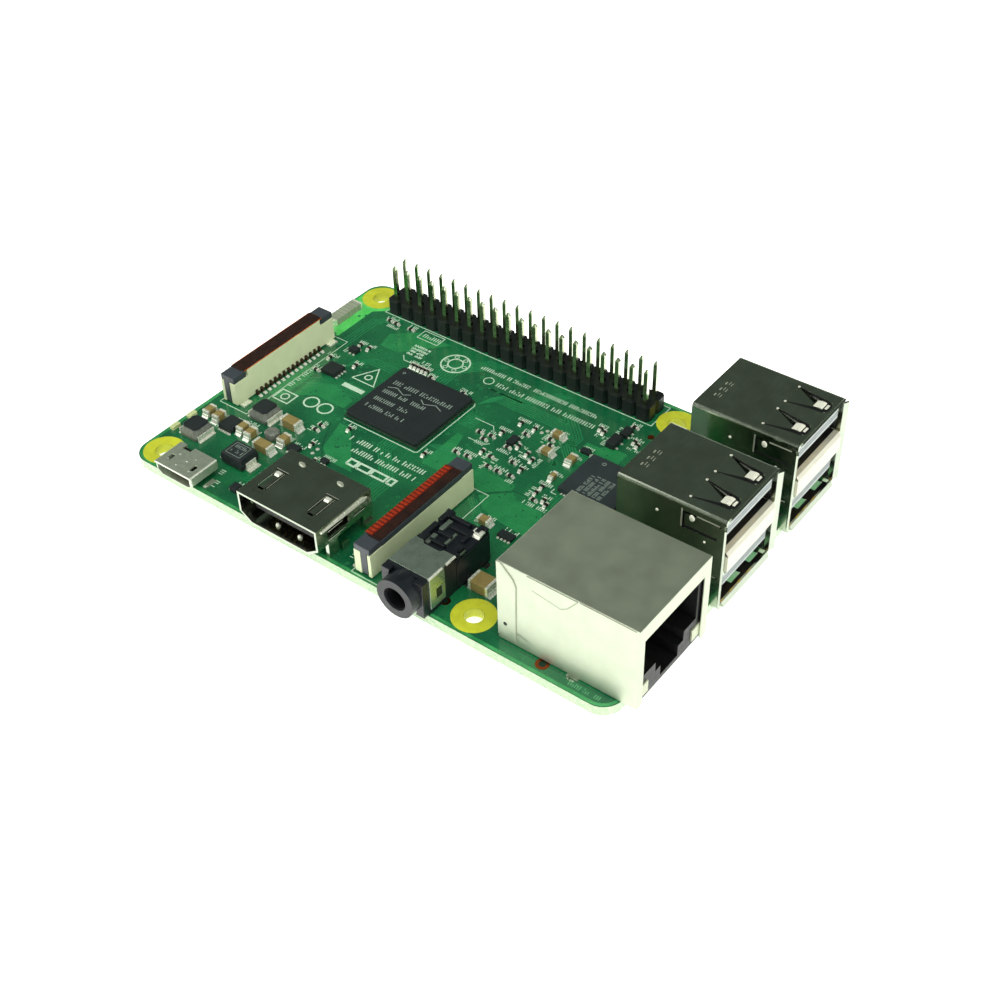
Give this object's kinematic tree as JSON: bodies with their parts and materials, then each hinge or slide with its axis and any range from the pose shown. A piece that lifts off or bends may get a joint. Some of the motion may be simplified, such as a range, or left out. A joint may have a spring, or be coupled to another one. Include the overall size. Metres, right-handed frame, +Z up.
{
  "type": "single board computer",
  "caption": "Small single board computer: green circuit board with plug stacks, network, video, audio and power sockets, a long pin header, two ribbon connectors and soldered chips.",
  "frame": {"origin": "centre of the four mounting holes, on the underside of the circuit board", "axes": "+X along the board towards the plug stacks and network socket, +Y towards the long pin header, +Z up from the board on the component side"},
  "size_m": [0.0873, 0.0585, 0.0188],
  "materials": {
    "board_laminate": "green solder mask over glass laminate",
    "bare_pad": "tinned copper pad",
    "tinned_metal": "tinned, bright",
    "solder": "reflowed solder",
    "chip_black": "black moulding compound",
    "chip_slate": "dark slate moulding compound",
    "substrate": "dark green laminate",
    "antenna_ceramic": "pale ceramic block",
    "inductor_ferrite": "grey-black ferrite",
    "capacitor_ceramic": "tan ceramic",
    "small_part_ceramic": "dark brown ceramic",
    "crystal_can": "pressed can",
    "fuse_green": "green coating",
    "light_lens": "milky lens",
    "shell_nickel": "nickel-plated sheet",
    "socket_black": "black socket plastic",
    "audio_black": "dark grey-black plastic",
    "spring_metal": "plated spring strip",
    "gold_contact": "gold-plated",
    "ivory_plastic": "ivory, slightly green",
    "latch_slate": "dark slate",
    "amber_film": "thin amber film",
    "header_black": "black header plastic",
    "header_gold": "pale gold over nickel",
    "network_steel": "matt nickel-plated sheet",
    "light_pipe": "clear light pipe",
    "coil_copper": "enamelled copper",
    "tongue_plastic": "pale grey tongue"
  },
  "bodies": {
    "board": {"circuit_board": "board_laminate", "processor_substrate": "substrate", "processor_cap": "chip_black", "processor_solder_balls": "solder", "memory_substrate": "substrate", "memory_cap": "chip_black", "memory_solder_balls": "solder", "hub_chip": "chip_slate", "hub_chip_pads": "solder", "wireless_chip": "chip_slate", "chip_antenna": "antenna_ceramic", "small_chips": "chip_black", "small_chip_leads": "tinned_metal", "clock_crystals": "crystal_can", "inductor_cores": "inductor_ferrite", "inductor_terminals": "tinned_metal", "power_diode_body": "chip_black", "power_diode_leads": "tinned_metal", "resettable_fuse": "fuse_green", "large_capacitor_bodies": "capacitor_ceramic", "large_capacitor_ends": "tinned_metal", "small_part_bodies": "small_part_ceramic", "small_part_ends": "tinned_metal", "status_lights": "light_lens", "power_socket_shell": "shell_nickel", "power_socket_insulator": "socket_black", "power_socket_contacts": "gold_contact", "video_socket_shell": "shell_nickel", "video_socket_insulator": "socket_black", "video_socket_contacts": "gold_contact", "audio_socket_body": "audio_black", "audio_socket_springs": "spring_metal", "camera_housing": "ivory_plastic", "camera_contacts": "tinned_metal", "camera_anchors": "tinned_metal", "display_housing": "ivory_plastic", "display_contacts": "tinned_metal", "display_anchors": "tinned_metal", "header_strip": "header_black", "header_pins": "header_gold", "network_shell": "network_steel", "network_insert": "socket_black", "network_contacts": "gold_contact", "network_light_pipes": "light_pipe", "network_coils": "coil_copper", "network_pins": "tinned_metal", "upper_stack_shell": "shell_nickel", "upper_stack_insulator": "tongue_plastic", "upper_stack_contacts": "gold_contact", "lower_stack_shell": "shell_nickel", "lower_stack_insulator": "tongue_plastic", "lower_stack_contacts": "gold_contact", "card_slot_shell": "shell_nickel", "card_slot_base": "socket_black", "card_slot_contacts": "gold_contact", "test_pads": "bare_pad"},
    "camera_slider": {"camera_latch": "latch_slate", "camera_film": "amber_film"},
    "display_slider": {"display_latch": "latch_slate", "display_film": "amber_film"}
  },
  "joints": [
    {"name": "camera_latch_lift", "type": "slide", "parent": "board", "child": "camera_slider", "axis": [0, 0, 1], "range_m": [0, 0.0012]},
    {"name": "display_latch_lift", "type": "slide", "parent": "board", "child": "display_slider", "axis": [0, 0, 1], "range_m": [0, 0.0012]}
  ]
}
